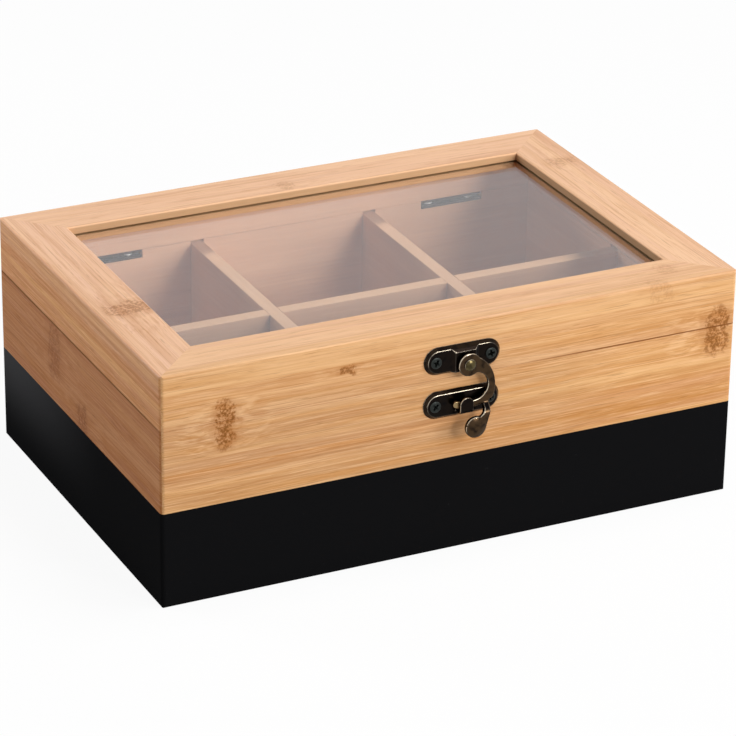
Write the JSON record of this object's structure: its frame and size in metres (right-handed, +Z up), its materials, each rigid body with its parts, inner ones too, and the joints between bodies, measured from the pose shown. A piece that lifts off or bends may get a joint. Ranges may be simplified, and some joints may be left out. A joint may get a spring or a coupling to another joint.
{
  "type": "tea bag organizer box",
  "caption": "Bamboo tea bag box with a black painted lower half, a hinged glass-panelled lid, cross-lapped dividers inside and a bronze swing hook latch on the front.",
  "frame": {"origin": "middle of the underside of the box, on the surface it stands on", "axes": "+X to the right along the length, -Y out of the front face with the latch, +Z up"},
  "size_m": [0.217, 0.1593, 0.085],
  "materials": {
    "two_tone_bamboo": "satin lacquered strip bamboo, outside painted matt black up to 35 mm",
    "bamboo": "satin clear-lacquered strip bamboo",
    "inner_bamboo": "bare sanded bamboo",
    "clear_glass": "clear float glass",
    "hinge_steel": "zinc plated steel",
    "antique_bronze": "antique bronze plated steel, worn bright on its edges",
    "dark_screw": "blackened steel screws"
  },
  "bodies": {
    "base": {"base_front_wall": "two_tone_bamboo", "base_back_wall": "two_tone_bamboo", "base_left_wall": "two_tone_bamboo", "base_right_wall": "two_tone_bamboo", "bottom_panel": "inner_bamboo", "long_divider": "inner_bamboo", "short_divider_left": "inner_bamboo", "short_divider_right": "inner_bamboo", "hinge_left_base_leaf": "hinge_steel", "hinge_right_base_leaf": "hinge_steel", "hinge_left_pin": "hinge_steel", "hinge_right_pin": "hinge_steel", "hinge_base_screws": "hinge_steel", "latch_base_plate": "antique_bronze", "latch_base_screws": "dark_screw"},
    "lid": {"lid_front_wall": "bamboo", "lid_back_wall": "bamboo", "lid_left_wall": "bamboo", "lid_right_wall": "bamboo", "lid_front_rail": "bamboo", "lid_back_rail": "bamboo", "lid_left_rail": "bamboo", "lid_right_rail": "bamboo", "glass_pane": "clear_glass", "hinge_left_lid_leaf": "hinge_steel", "hinge_right_lid_leaf": "hinge_steel", "hinge_lid_screws": "hinge_steel", "latch_lid_plate": "antique_bronze", "latch_lid_screws": "dark_screw", "latch_pivot_rivet": "antique_bronze"},
    "latch_hook": {"latch_hook": "antique_bronze"}
  },
  "joints": [
    {"name": "lid_hinge", "type": "hinge", "parent": "base", "child": "lid", "pos_m": [0, 0.0758, 0.0634], "axis": [-1, 0, 0], "range_deg": [0, 110]},
    {"name": "latch_swing", "type": "hinge", "parent": "lid", "child": "latch_hook", "pos_m": [0.0029, -0.0774, 0.0701], "axis": [0, -1, 0], "range_deg": [0, 100]}
  ]
}
